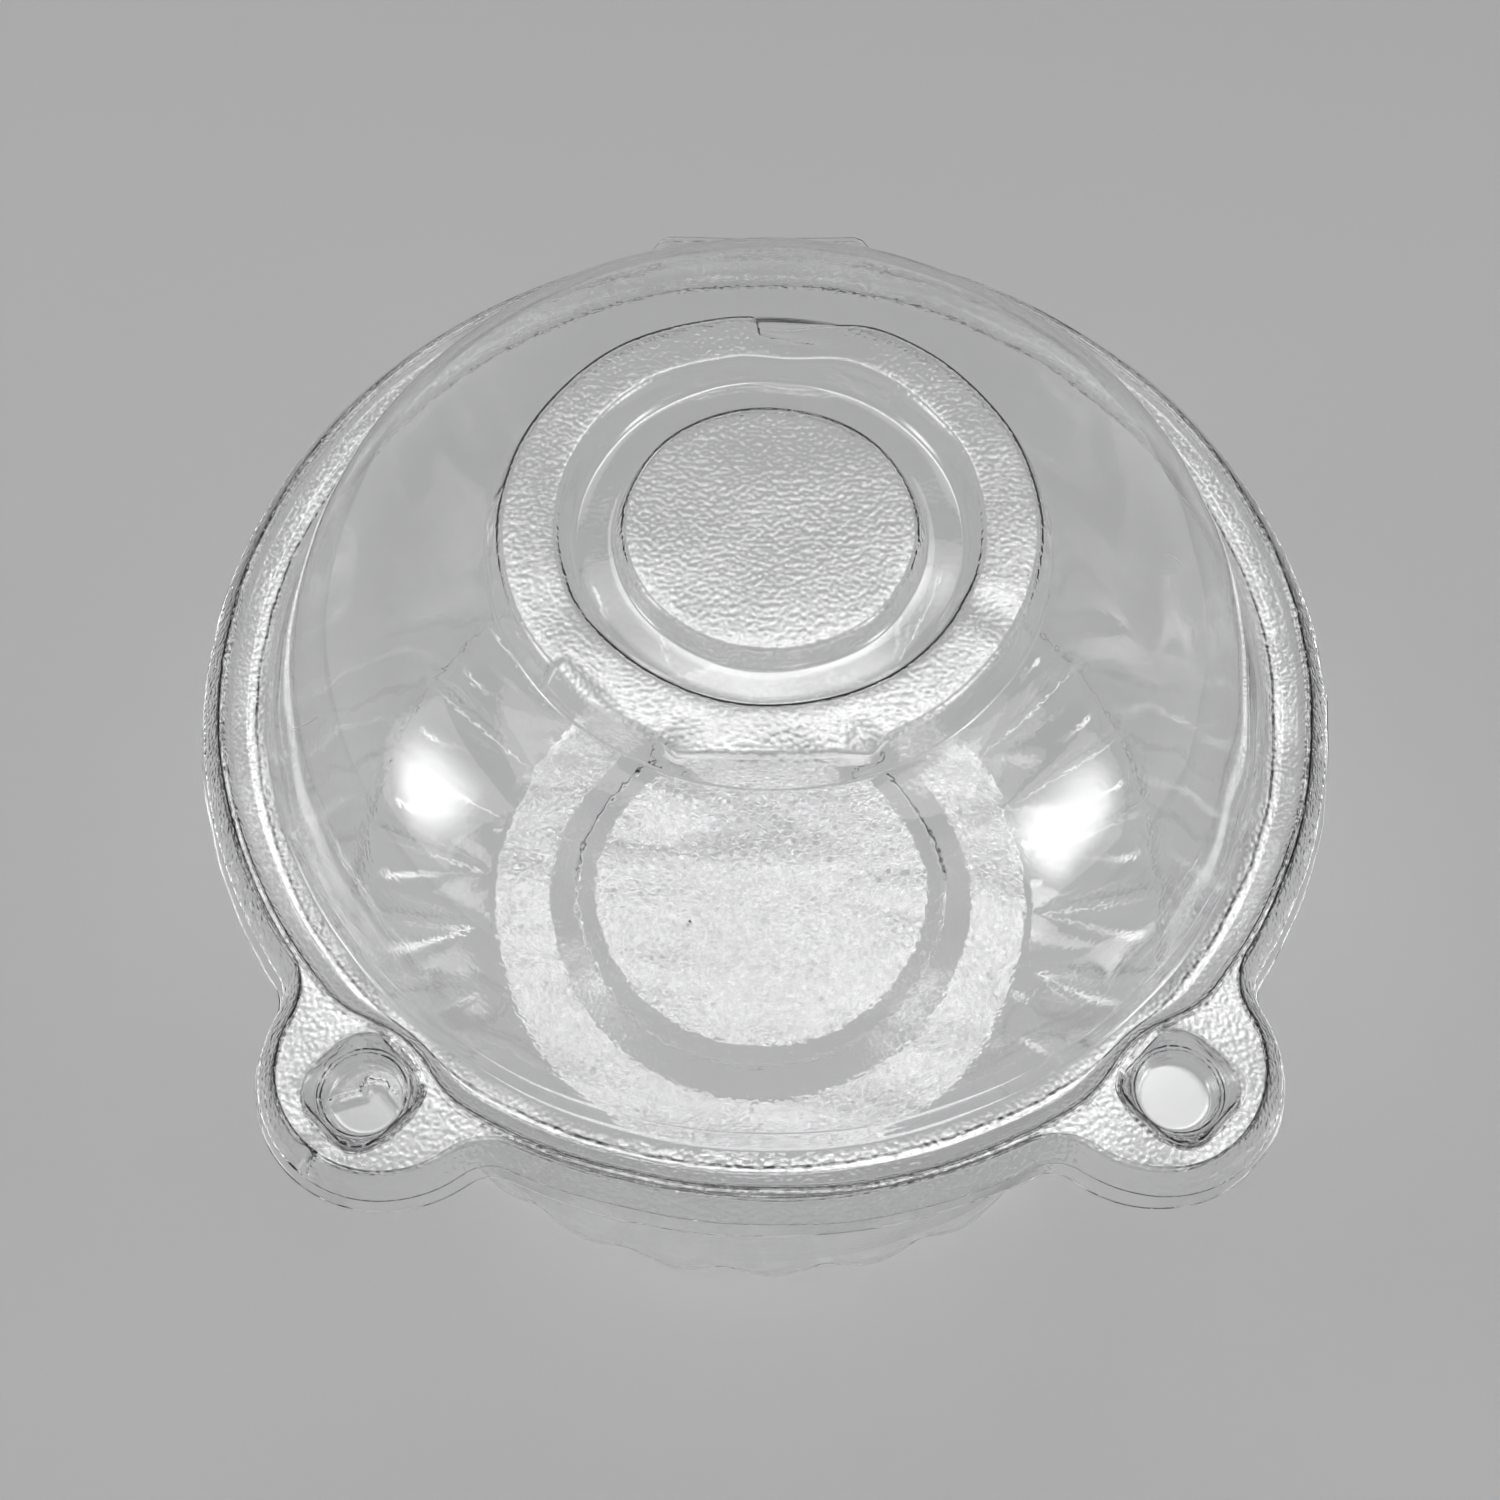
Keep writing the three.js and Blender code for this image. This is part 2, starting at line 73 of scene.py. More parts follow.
# Dome, stacking ring and disc
NECK_LEAN = 1.0
NECK_RISE = 1.5
SHOULDER_PULL_IN = 5.0
SHOULDER_PULL_UP = 11.5
CROWN_PULL_OUT = 18.5
CROWN_PULL_DOWN = 0.5
DOME_RISE = 21.6
RING_FOOT_RADIUS = 26.9
CROWN_EASE_RADIUS = 34.0
CROWN_EASE = 0.55
RING_WALL_LEAN = 1.6
RING_TOP_WIDTH = 5.4
RING_HEIGHT = 3.7
RECESS_WALL_LEAN = 1.3
RECESS_DEPTH = 3.0
DISC_FOOT_RADIUS = 14.8
DISC_WALL_LEAN = 0.9
DISC_RISE = 1.9

# Bowl
MOUTH_INSET = 3.5
WALL_DRAFT_RUN = 1.6
FLUTE_COUNT = 28
FLUTE_TURN = 1.4
FLUTE_HEIGHT = 11.5
FLUTE_LIFT = 0.45
LOBE_SQUARENESS = 5
LOBE_SLOPE = 4.8
LOBE_BULGE = 0.5
RIB_SQUARENESS = 1.15
RIB_EDGE = 0.9
FOOT_OUTER_RADIUS = 36.0
FOOT_INNER_RADIUS = 28.5
FOOT_BEND = 0.8
CENTRE_CREASE_RADIUS = 25.0
CENTRE_CREASE_RISE = 1.0
CENTRE_DISC_RADIUS = 22.3
CENTRE_DISC_RISE = 1.5

# Ears, buttons and hinge. Angles are in degrees from the front, -Y, towards +X.
EAR_ANGLE = 39.2
EAR_CENTRE_RADIUS = RIM_RADIUS - 0.2
EAR_ROUND_RADIUS = 10.6
EAR_FILLET_RADIUS = 6.3
BUTTON_CENTRE_RADIUS = RIM_RADIUS + 3.4
BUTTON_RADIUS = 4.9
BUTTON_FLARE = 0.7
BUTTON_FLARE_DROP = 0.32
BUTTON_CORNERS = 0.09
BOWL_BUTTON_CORNERS = 0.04
BUTTON_WALL_LEAN = 0.5
BUTTON_STEP_DROP = 1.3
BUTTON_STEP_RUN = 0.45
BUTTON_FLOOR_RADIUS = 3.5
BUTTON_DEPTH = 3.4
BEAD_SWELL = 2.0
BEAD_SWELL_REACH = 9
HINGE_Y = RIM_RADIUS + 1.4
HINGE_HALF_WIDTH = 11.2
HINGE_FADE = 3

# Round corners of the formed film
RIM_CORNER = 0.7
RING_CORNER = 0.85
RING_FOOT_CORNER = 0.3
SMALL_CORNER = 0.45
SOFT_CORNER = 1.4
BEAD_EASE = 0.22
BOWL_BEAD_EASE = 0.08
BOWL_BEAD_CUT = 0.2
POCKET_CORNER = 0.3
POCKET_TOP_CORNER = 0.35
POCKET_EASE = 0.15
BOWL_POCKET_EASE = 0.05
SHARP_ANGLE = 60

# Rows along a section
ARC_STEPS = 4
DOME_POINTS = 34
FLUTE_POINTS = 28
POCKET_FLOOR_ROWS = 12

# Columns round the axis
ROUND_COLUMNS = 312
FLUTE_PLACES = (0, 0.09, 0.18, 0.26, 0.33, 0.39, 0.445)
EDGE_STEP = 0.9
EAR_STEP = 0.4
EAR_REACH = 16
BUTTON_COLUMNS = 84

# Slight waves all over the film: length, height and seed of their random draws
LID_WAVES = ((11, 0.03, 3), (24, 0.06, 4))
BOWL_WAVES = ((9, 0.045, 5), (20, 0.07, 6))
WAVE_COUNT = 14

# Damage. Folds in the stacking ring's top: angle, way round, reach in degrees, start and drift
# of the fold inwards from the outer edge, and sink
RING_FOLDS = (
    (182.5, -1, 34, 2.4, 2.4, 1.15),
    (-51, 1, 24, 1.2, 0.6, 0.75),
    (-99, 1, 5, 0.2, 0.2, 0.4),
)
# Soft dents in it: angle, reach in degrees, push in and sink
RING_DENTS = (
    (190, 26, 0.5, 0.35),
    (172, 18, 0.9, 0.1),
    (-60, 16, -0.15, 0.15),
    (63, 9, 0.15, 0.2),
)
# The ring's front edge: bent straight up to this angle, and pushed in by this much
STRAIGHT_EDGE = 19
STRAIGHT_INSET = 0.45
# The ring's top stands this much lower than in the part
RING_SINK = 0.1
# The left button's crushed floor: its rise, and the line of its fold from the button's centre
CRUSH_RISE = 0.9
CRUSH_FOLD = ((-4.2, -0.6), (-1.6, 0.2), (-0.5, 0.5), (0.1, 1.8), (1.5, 1.5), (4.4, -1.6))
# Folds in the rim's skirt: place, reach and push
SKIRT_FOLDS = (
    ((-43.4, -52.8, 62.2), 1.3, (0.75, 0.75, -0.5)),
    ((-41.9, -54.0, 62.0), 1.2, (-0.3, -0.35, 0.35)),
    ((38.3, -56.9, 59.6), 0.8, (0.0, 0.9, 0.4)),
)

NECK_RADIUS = RIM_RADIUS - BEAD_WIDTH - BEAD_STEP_RUN - LEDGE_SLOPE_RUN - LEDGE_WIDTH
MOUTH_RADIUS = RIM_RADIUS - MOUTH_INSET
WALL_FOOT_RADIUS = MOUTH_RADIUS - WALL_DRAFT_RUN
LEDGE_HEIGHT = RIM_HEIGHT - BEAD_STEP_DROP - LEDGE_SLOPE_DROP
CROWN_HEIGHT = LEDGE_HEIGHT + NECK_RISE + DOME_RISE
RING_TOP_HEIGHT = CROWN_HEIGHT + RING_HEIGHT
RING_OUTER_RADIUS = RING_FOOT_RADIUS - RING_WALL_LEAN
RING_INNER_RADIUS = RING_OUTER_RADIUS - RING_TOP_WIDTH
HINGE_ANGLE = math.degrees(math.atan(HINGE_HALF_WIDTH / HINGE_Y))


# Small helpers on arrays
def smooth(value, low, high):
    share = np.clip((np.asarray(value, float) - low) / (high - low), 0, 1)
    return share * share * (3 - 2 * share)


def turn_between(angle, other):
    return (np.asarray(angle, float) - other + 180) % 360 - 180


def turn_from_ear(angle):
    return np.minimum(np.abs(turn_between(angle, EAR_ANGLE)),
                      np.abs(turn_between(angle, -EAR_ANGLE)))


def polar(angle, radius, z):
    turn = np.radians(angle)
    radius = np.broadcast_to(radius, turn.shape)
    return np.stack([radius * np.sin(turn), -radius * np.cos(turn),
                     np.broadcast_to(z, turn.shape)], axis=-1)


# The rim's outline and the direction across it, for an array of angles
def outline(angles):
    fillet_distance = RIM_RADIUS + EAR_FILLET_RADIUS
    span = EAR_ROUND_RADIUS + EAR_FILLET_RADIUS
    cosine = (EAR_CENTRE_RADIUS ** 2 + fillet_distance ** 2 - span ** 2) / (
        2 * EAR_CENTRE_RADIUS * fillet_distance)
    fillet_turn = math.acos(cosine)
    ear_centre = np.array([EAR_CENTRE_RADIUS, 0.0])
    fillet_centre = fillet_distance * np.array([math.cos(fillet_turn), math.sin(fillet_turn)])
    touch = ear_centre + (fillet_centre - ear_centre) * EAR_ROUND_RADIUS / span
    touch_turn = math.atan2(touch[1], touch[0])
    points = []
    across = []
    for angle in angles:
        ear = EAR_ANGLE if turn_between(angle, 0) >= 0 else -EAR_ANGLE
        signed = math.radians(float(turn_between(angle, ear)))
        turn = abs(signed)
        ray = np.array([math.cos(turn), math.sin(turn)])
        if turn >= fillet_turn:
            spot = ray * RIM_RADIUS
            normal = ray
        elif turn <= touch_turn:
            side = EAR_CENTRE_RADIUS * math.sin(turn)
            spot = ray * (EAR_CENTRE_RADIUS * math.cos(turn)
                          + math.sqrt(EAR_ROUND_RADIUS ** 2 - side ** 2))
            normal = (spot - ear_centre) / EAR_ROUND_RADIUS
        else:
            side = fillet_distance * math.sin(fillet_turn - turn)
            spot = ray * (fillet_distance * math.cos(fillet_turn - turn)
                          - math.sqrt(EAR_FILLET_RADIUS ** 2 - side ** 2))
            normal = (fillet_centre - spot) / EAR_FILLET_RADIUS
        sign = -1.0 if signed < 0 else 1.0
        axis = math.radians(ear)
        outwards = np.array([math.sin(axis), -math.cos(axis)])
        sideways = np.array([math.cos(axis), math.sin(axis)]) * sign
        points.append(outwards * spot[0] + sideways * spot[1])
        across.append(outwards * normal[0] + sideways * normal[1])
    return np.array(points), np.array(across)


# A section is a list of corners (x, z, corner radius, steps to the next corner)
def section_path(corners):
    spots = [np.array(corner[:2], float) for corner in corners]
    ends = []
    for index, spot in enumerate(spots):
        radius = corners[index][2]
        if index in (0, len(spots) - 1) or radius == 0:
            ends.append((spot, spot, None))
            continue
        before = spots[index - 1] - spot
        after = spots[index + 1] - spot
        reach_before = np.linalg.norm(before)
        reach_after = np.linalg.norm(after)
        before = before / reach_before
        after = after / reach_after
        half = math.acos(np.clip(before @ after, -1, 1)) / 2
        reach = min(radius / math.tan(half), 0.47 * reach_before, 0.47 * reach_after)
        radius = reach * math.tan(half)
        middle = before + after
        middle = middle / np.linalg.norm(middle)
        centre = spot + middle * radius / math.sin(half)
        ends.append((spot + before * reach, spot + after * reach, centre))
    path = []
    for index, (start, finish, centre) in enumerate(ends):
        if centre is None:
            path.append(start)
        else:
            first = start - centre
            last = finish - centre
            sweep = math.atan2(first[0] * last[1] - first[1] * last[0], first @ last)
            for step in range(ARC_STEPS + 1):
                turn = sweep * step / ARC_STEPS
                path.append(centre + np.array([
                    first[0] * math.cos(turn) - first[1] * math.sin(turn),
                    first[0] * math.sin(turn) + first[1] * math.cos(turn)]))
        if index + 1 < len(ends):
            steps = corners[index][3]
            target = ends[index + 1][0]
            path += [finish + (target - finish) * k / steps for k in range(1, steps)]
    return np.array(path)


def offset_path(path, distance):
    along = np.diff(path, axis=0)
    along = along / np.linalg.norm(along, axis=1, keepdims=True)
    normals = np.stack([-along[:, 1], along[:, 0]], axis=1)
    before = np.vstack([normals[:1], normals])
    after = np.vstack([normals, normals[-1:]])
    mitre = before + after
    mitre = mitre * (2 * distance / np.sum(mitre ** 2, axis=1, keepdims=True))
    moved = path + mitre
    moved[path[:, 0] == 0, 0] = 0
    return moved


# Rim section for one angle, at the lid's upper side or nested below it
def rim_corners(swell):
    bead_inner = RIM_RADIUS - BEAD_WIDTH - swell
    step_inner = bead_inner - BEAD_STEP_RUN
    ledge_outer = step_inner - max(LEDGE_SLOPE_RUN - swell / 2, LEDGE_SLOPE_RUN / 4)
    return [
        (bead_inner, RIM_HEIGHT),
        (step_inner, RIM_HEIGHT - BEAD_STEP_DROP),
        (ledge_outer, LEDGE_HEIGHT),
    ]


def swell_at(angle):
    turn = np.minimum(turn_from_ear(angle) / BEAD_SWELL_REACH, 1)
    return BEAD_SWELL * (0.5 + 0.5 * np.cos(np.pi * turn))


def nested_corners(swell):
    path = np.array([(RIM_RADIUS, RIM_HEIGHT), *rim_corners(swell), (NECK_RADIUS, LEDGE_HEIGHT)])
    return offset_path(path, FILM + NEST_GAP)[1:4]


def lid_section(angle):
    bead, step, ledge = rim_corners(float(swell_at(angle)))
    recess = RING_TOP_HEIGHT - RECESS_DEPTH
    disc = recess + DISC_RISE
    neck_top = np.array([NECK_RADIUS - NECK_LEAN, LEDGE_HEIGHT + NECK_RISE])
    crown = np.array([RING_FOOT_RADIUS, CROWN_HEIGHT])
    shoulder = neck_top + [-SHOULDER_PULL_IN, SHOULDER_PULL_UP]
    brow = crown + [CROWN_PULL_OUT, -CROWN_PULL_DOWN]
    t = np.linspace(0, 1, DOME_POINTS)[:, None]
    dome = ((1 - t) ** 3 * neck_top + 3 * t * (1 - t) ** 2 * shoulder
            + 3 * t * t * (1 - t) * brow + t ** 3 * crown)
    rise = np.clip((CROWN_EASE_RADIUS - dome[:, 0]) / (CROWN_EASE_RADIUS - RING_FOOT_RADIUS), 0, 1)
    dome[:, 1] += CROWN_EASE * (rise ** 2 - 0.4 * rise)
    crown = dome[-1]
    corners = [
        (bead[0] + BEAD_EASE, RIM_HEIGHT, 0, 1),
        (*bead, SMALL_CORNER, 1),
        (*step, SMALL_CORNER, 1),
        (*ledge, SMALL_CORNER, 2),
        (NECK_RADIUS, LEDGE_HEIGHT, SMALL_CORNER, 2),
        (*dome[0], SOFT_CORNER, 1),
        *[(*spot, 0, 1) for spot in dome[2:-1]],
        (*crown, RING_FOOT_CORNER, 3),
        (RING_OUTER_RADIUS, RING_TOP_HEIGHT, RING_CORNER, 4),
        (RING_INNER_RADIUS, RING_TOP_HEIGHT, RING_CORNER, 3),
        (RING_INNER_RADIUS - RECESS_WALL_LEAN, recess, RIM_CORNER, 4),
        (DISC_FOOT_RADIUS, recess, SMALL_CORNER, 1),
        (DISC_FOOT_RADIUS - DISC_WALL_LEAN, disc, RIM_CORNER, 10),
        (0, disc, 0, 1),
    ]
    return section_path(corners)


def flute_corner(angle, sweep):
    """A spot of the fluted corner, whose section runs from a full lobe to a straight rib."""
    turn = turn_between(angle, FLUTE_TURN) / (360 / FLUTE_COUNT)
    across = min(2 * abs(turn - round(turn)) / RIB_EDGE, 1)
    rib = 1 - (1 - across ** 1.7) ** 0.8
    inner = FOOT_OUTER_RADIUS + FOOT_BEND
    floor = FILM + FLUTE_LIFT
    turn = np.radians(sweep)

    def corner(squareness):
        return np.array([
            inner + (WALL_FOOT_RADIUS - inner) * np.cos(turn) ** (2 / squareness),
            FLUTE_HEIGHT - (FLUTE_HEIGHT - floor) * np.sin(turn) ** (2 / squareness)])

    lobe = corner(LOBE_SQUARENESS)
    height = (lobe[1] - floor) / (FLUTE_HEIGHT - floor)
    out = (lobe[0] - inner) / (WALL_FOOT_RADIUS - inner)
    lobe += [LOBE_BULGE * 4 * height * (1 - height) * out, LOBE_SLOPE * out * (1 - height)]
    spot = lobe * (1 - rib) + corner(RIB_SQUARENESS) * rib
    return float(spot[0]), float(spot[1])


FLUTE_SWEEPS = 90 * (0.5 - 0.5 * np.cos(np.pi * np.linspace(0, 1, FLUTE_POINTS)))[1:-1]


def bowl_section(angle):
    bead, step, ledge = nested_corners(float(swell_at(angle)))
    mouth_height = ledge[1]
    bead = bead - np.array([BOWL_BEAD_CUT * BEAD_STEP_RUN / BEAD_STEP_DROP, BOWL_BEAD_CUT])
    corners = [
        (bead[0] + BOWL_BEAD_EASE, bead[1], 0, 1),
        (*bead, SMALL_CORNER, 1),
        (*step, SMALL_CORNER, 1),
        (*ledge, SMALL_CORNER, 1),
        (MOUTH_RADIUS, mouth_height, RIM_CORNER, 12),
        (WALL_FOOT_RADIUS, FLUTE_HEIGHT, 0, 1),
        *[(*flute_corner(angle, sweep), 0, 1) for sweep in FLUTE_SWEEPS],
        (FOOT_OUTER_RADIUS + FOOT_BEND, FILM + FLUTE_LIFT, SMALL_CORNER, 1),
        (FOOT_OUTER_RADIUS, FILM, SMALL_CORNER, 5),
        (FOOT_INNER_RADIUS, FILM, SMALL_CORNER, 2),
        (CENTRE_CREASE_RADIUS + 0.35, FILM + CENTRE_CREASE_RISE - 0.05, 0.2, 1),
        (CENTRE_CREASE_RADIUS, FILM + CENTRE_CREASE_RISE + 0.2, 0.2, 1),
        (CENTRE_CREASE_RADIUS - 0.35, FILM + CENTRE_CREASE_RISE + 0.05, 0.2, 2),
        (CENTRE_DISC_RADIUS, FILM + CENTRE_DISC_RISE, SMALL_CORNER, 14),
        (0, FILM + CENTRE_DISC_RISE, 0, 1),
    ]
    return section_path(corners)


# Skirt sections: (grown distance, height) from the edge to just inside the top corner
def lid_skirt():
    return section_path([
        (SKIRT_FLARE * LID_SKIRT_DROP, RIM_HEIGHT - LID_SKIRT_DROP, 0, 3),
        (0, RIM_HEIGHT, RIM_CORNER, 1),
        (-BEAD_EASE, RIM_HEIGHT, 0, 1),
    ])


def bowl_skirt():
    lid = np.array([(SKIRT_FLARE * LID_SKIRT_DROP, RIM_HEIGHT - LID_SKIRT_DROP),
                    (0, RIM_HEIGHT), (-BEAD_WIDTH, RIM_HEIGHT)])
    edge, corner, _ = offset_path(lid, FILM + NEST_GAP)
    corner = corner + np.array([BOWL_BEAD_CUT * SKIRT_FLARE, -BOWL_BEAD_CUT])
    reach = BOWL_SKIRT_DROP - (RIM_HEIGHT - edge[1])
    return section_path([
        (edge[0] + SKIRT_FLARE * reach, edge[1] - reach, 0, 4),
        (*corner, RIM_CORNER, 1),
        (corner[0] - BOWL_BEAD_EASE, corner[1], 0, 1),
    ])


def button_section(distance, cut, ease, flare):
    """The pocket's section, set off from the lid's. A flare rounds the mouth out to the ear."""
    step_radius = BUTTON_RADIUS - BUTTON_WALL_LEAN
    path = np.array([
        (BUTTON_RADIUS + 3, RIM_HEIGHT),
        (BUTTON_RADIUS, RIM_HEIGHT),
        (step_radius, RIM_HEIGHT - BUTTON_STEP_DROP),
        (step_radius - BUTTON_STEP_RUN, RIM_HEIGHT - BUTTON_STEP_DROP - BUTTON_WALL_LEAN),
        (BUTTON_FLOOR_RADIUS, RIM_HEIGHT - BUTTON_DEPTH),
        (0, RIM_HEIGHT - BUTTON_DEPTH),
    ])
    mouth, top, step, lower, floor, middle = offset_path(path, distance)
    height = mouth[1] - cut
    if flare:
        rim = [(top[0] + flare + ease, height, 0, 1), (top[0] + flare, height, POCKET_CORNER, 2)]
        top = top - np.array([0, BUTTON_FLARE_DROP])
    else:
        rim = [(top[0] + ease, height, 0, 1)]
    return section_path([
        *rim,
        (top[0], top[1] - cut, POCKET_TOP_CORNER, 2),
        (*step, POCKET_CORNER, 1),
        (*lower, POCKET_CORNER, 2),
        (*floor, SMALL_CORNER, POCKET_FLOOR_ROWS),
        (*middle, 0, 1),
    ])


class Mesh:
    """Collects points and faces of one closed film body."""

    def __init__(self):
        self.blocks = []
        self.count = 0
        self.faces = []

    def ring(self, points):
        points = np.atleast_2d(points)
        first = self.count
        self.blocks.append(points)
        self.count += len(points)
        return np.arange(first, self.count)

    def band(self, outer, inner, flip):
        for step in range(len(outer)):
            a, b = outer[step], outer[(step + 1) % len(outer)]
            if len(inner) == 1:
                face = (a, b, inner[0])
            else:
                face = (a, b, inner[(step + 1) % len(inner)], inner[step])
            self.faces.append(tuple(int(v) for v in (face[::-1] if flip else face)))

    def stitch(self, outer, outer_angles, inner, inner_angles, flip):
        i = j = 0
        outer_angles = np.append(outer_angles, outer_angles[0] + 360)
        inner_angles = np.append(inner_angles, inner_angles[0] + 360)
        while i < len(outer) or j < len(inner):
            a, b = outer[i % len(outer)], inner[j % len(inner)]
            if j >= len(inner) or (i < len(outer) and outer_angles[i + 1] <= inner_angles[j + 1]):
                i += 1
                c = outer[i % len(outer)]
            else:
                j += 1
                c = inner[j % len(inner)]
            face = (a, c, b)
            self.faces.append(tuple(int(v) for v in (face[::-1] if flip else face)))

    def points(self):
        return np.vstack(self.blocks)

    def flat(self, outer, inner, holes, flip):
        """Fills the flat ear and bead top between the outline, the bead's inner edge and the
        button mouths."""
        loops = [outer, inner, *holes]
        points = self.points()
        index = np.concatenate(loops)
        coords = [Vector((points[k][0], points[k][1])) for k in index]
        edges = []
        start = 0
        for loop in loops:
            n = len(loop)
            edges += [(start + k, start + (k + 1) % n) for k in range(n)]
            start += n
        out, _, faces, origin, _, _ = geometry.delaunay_2d_cdt(coords, edges, [], 0, 1e-7)
        outer_path = points[outer][:, :2]
        inner_path = points[inner][:, :2]
        hole_paths = [points[hole][:, :2] for hole in holes]
        for face in faces:
            middle = np.mean([out[k] for k in face], axis=0)
            if not inside(middle, outer_path) or inside(middle, inner_path):
                continue
            if any(inside(middle, path) for path in hole_paths):
                continue
            ids = [int(index[origin[k][0]]) for k in face]
            a, b, c = (points[k][:2] for k in ids)
            turn = (b[0] - a[0]) * (c[1] - a[1]) - (b[1] - a[1]) * (c[0] - a[0])
            if (turn > 0) == flip:
                ids.reverse()
            self.faces.append(tuple(ids))


def inside(point, path):
    x, y = point
    x1, y1 = path[:, 0], path[:, 1]
    x2, y2 = np.roll(x1, -1), np.roll(y1, -1)
    crosses = (y1 > y) != (y2 > y)
    with np.errstate(divide="ignore", invalid="ignore"):
        at = x1 + (y - y1) * (x2 - x1) / (y2 - y1)
    return bool(np.sum(crosses & (x < at)) % 2)


# Column angles
def edge_angles():
    plain = np.arange(0, 360, EDGE_STEP)
    plain = plain[turn_from_ear(plain) > EAR_REACH + EDGE_STEP / 2]
    near = np.arange(-EAR_REACH, EAR_REACH + EAR_STEP / 2, EAR_STEP)
    return np.sort(np.concatenate([plain, EAR_ANGLE + near, (near - EAR_ANGLE) % 360]) % 360)


def round_angles():
    """Closer together at the stacking ring's folds."""
    fine = np.arange(3600) / 10
    weight = np.ones(len(fine))
    for at, *_ in RING_FOLDS:
        weight += 3 * np.exp(-(turn_between(fine, at) / 4) ** 2)
    total = np.concatenate([[0], np.cumsum(weight)])
    places = np.arange(ROUND_COLUMNS) * total[-1] / ROUND_COLUMNS
    return np.interp(places, total, np.arange(3601) / 10)


def flute_angles():
    steps = np.array([*FLUTE_PLACES, 0.5, *(1 - place for place in FLUTE_PLACES[:0:-1])])
    turns = (np.arange(FLUTE_COUNT)[:, None] + steps[None, :]).ravel()
    return np.sort((FLUTE_TURN + turns * 360 / FLUTE_COUNT) % 360)


EDGE_ANGLES = edge_angles()
EDGE_POINTS, EDGE_ACROSS = outline(EDGE_ANGLES)


def skirt_rings(path):
    """The skirt along the outline, running out into the flat hinge strip at the back."""
    from_back = np.abs(turn_between(EDGE_ANGLES, 180))
    share = smooth(from_back, HINGE_ANGLE, HINGE_ANGLE + HINGE_FADE)[:, None]
    backwards = np.maximum(-np.cos(np.radians(EDGE_ANGLES)), 0.5)
    strip = np.where(from_back < 45, (HINGE_Y - NEST_GAP / 2) / backwards, RIM_RADIUS)
    top = path[-1]
    level = np.full(len(EDGE_ANGLES), top[1])
    strip_start = np.column_stack([EDGE_POINTS + EDGE_ACROSS * top[0], level])
    strip_end = polar(EDGE_ANGLES, strip, top[1])
    rings = []
    for x, z in path:
        flat = EDGE_POINTS + EDGE_ACROSS * x
        skirt = np.column_stack([flat, np.full(len(flat), z)])
        reach = (x - top[0]) / (path[0][0] - top[0])
        hinge = strip_start * (1 - reach) + strip_end * reach
        rings.append(hinge * (1 - share) + skirt * share)
    return rings


def button_rings(side, path, corner_share, crush):
    centre = polar(np.array([side * EAR_ANGLE]), BUTTON_CENTRE_RADIUS, 0)[0]
    around = np.arange(BUTTON_COLUMNS) * 2 * np.pi / BUTTON_COLUMNS
    rings = []
    for x, z in path:
        corners = corner_share * smooth(z, path[0][1] - 1, path[0][1] - 0.1)
        radius = x * (1 + corners * np.cos(4 * around))
        if x < 1e-6:
            ring = centre[None, :] + [[0, 0, z]]
        else:
            ring = centre + np.column_stack(
                [radius * np.cos(around), radius * np.sin(around), np.full(len(around), z)])
        if crush:
            ring = crush(ring, centre)
        rings.append(ring)
    return rings


def film_body(skirt, section, columns, button, corner_share, shape, crush_side):
    """One closed half: skirt rings, the flat bead and ears with their button pockets, and the
    rings inside the bead, on both sides of the film. The crush side is 1 for the right button,
    -1 for the left one and 0 for neither."""
    mesh = Mesh()
    edges = {}
    for side in ("upper", "lower"):
        flip = side == "lower"
        offset = FILM if flip else 0
        skirt_path = offset_path(skirt, offset) if offset else skirt
        rings = [mesh.ring(shape(points)) for points in skirt_rings(skirt_path)]
        for outer, inner in zip(rings, rings[1:]):
            mesh.band(outer, inner, flip)
        edges[side] = rings[0]
        holes = []
        for hand in (1, -1):
            path = offset_path(button, offset) if offset else button
            crush = crush_button if hand == crush_side else None
            pocket = [mesh.ring(ring) for ring in button_rings(hand, path, corner_share, crush)]
            for outer, inner in zip(pocket, pocket[1:]):
                mesh.band(outer, inner, flip)
            holes.append(pocket[0])
        last_ring = None
        last_columns = None
        section_rows = {}
        row_count = len(section(0.0))
        for kind, angles in (("round", round_angles()), ("flute", flute_angles())):
            if not any(columns(row) == kind for row in range(row_count)):
                continue
            paths = []
            for angle in angles:
                path = section(float(angle))
                paths.append(offset_path(path, offset) if offset else path)
            section_rows[kind] = (angles, np.array(paths))
        for row in range(row_count):
            angles, paths = section_rows[columns(row)]
            if row == row_count - 1:
                ring = mesh.ring(shape(np.array([[0, 0, paths[0, row, 1]]])))
                mesh.band(last_ring, ring, flip)
                break
            ring = mesh.ring(shape(polar(angles, paths[:, row, 0], paths[:, row, 1])))
            if last_ring is None:
                mesh.flat(rings[-1], ring, holes, flip)
            elif len(last_ring) == len(ring):
                mesh.band(last_ring, ring, flip)
            else:
                mesh.stitch(last_ring, last_columns, ring, angles, flip)
            last_ring = ring
            last_columns = angles
    mesh.band(edges["upper"], edges["lower"], True)
    return mesh


def waves(points, length, height, seed):
    """A smooth field of small pushes in all directions, as uneven film has."""
    random = np.random.default_rng(seed)
    field = np.zeros_like(points)
    for _ in range(WAVE_COUNT):
        way = random.normal(size=3)
        way /= np.linalg.norm(way) * length * random.uniform(0.7, 1.4)
        push = random.normal(size=3)
        field += np.sin(2 * np.pi * (points @ way + random.uniform()))[:, None] * push
    return field * height / math.sqrt(WAVE_COUNT / 2)


def kept_in_box(points):
    """Waves and folds don't reach past the CAD box."""
    low, high = (np.array(corner) / MM for corner in CAD_BOX)
    return np.clip(points, low, high)


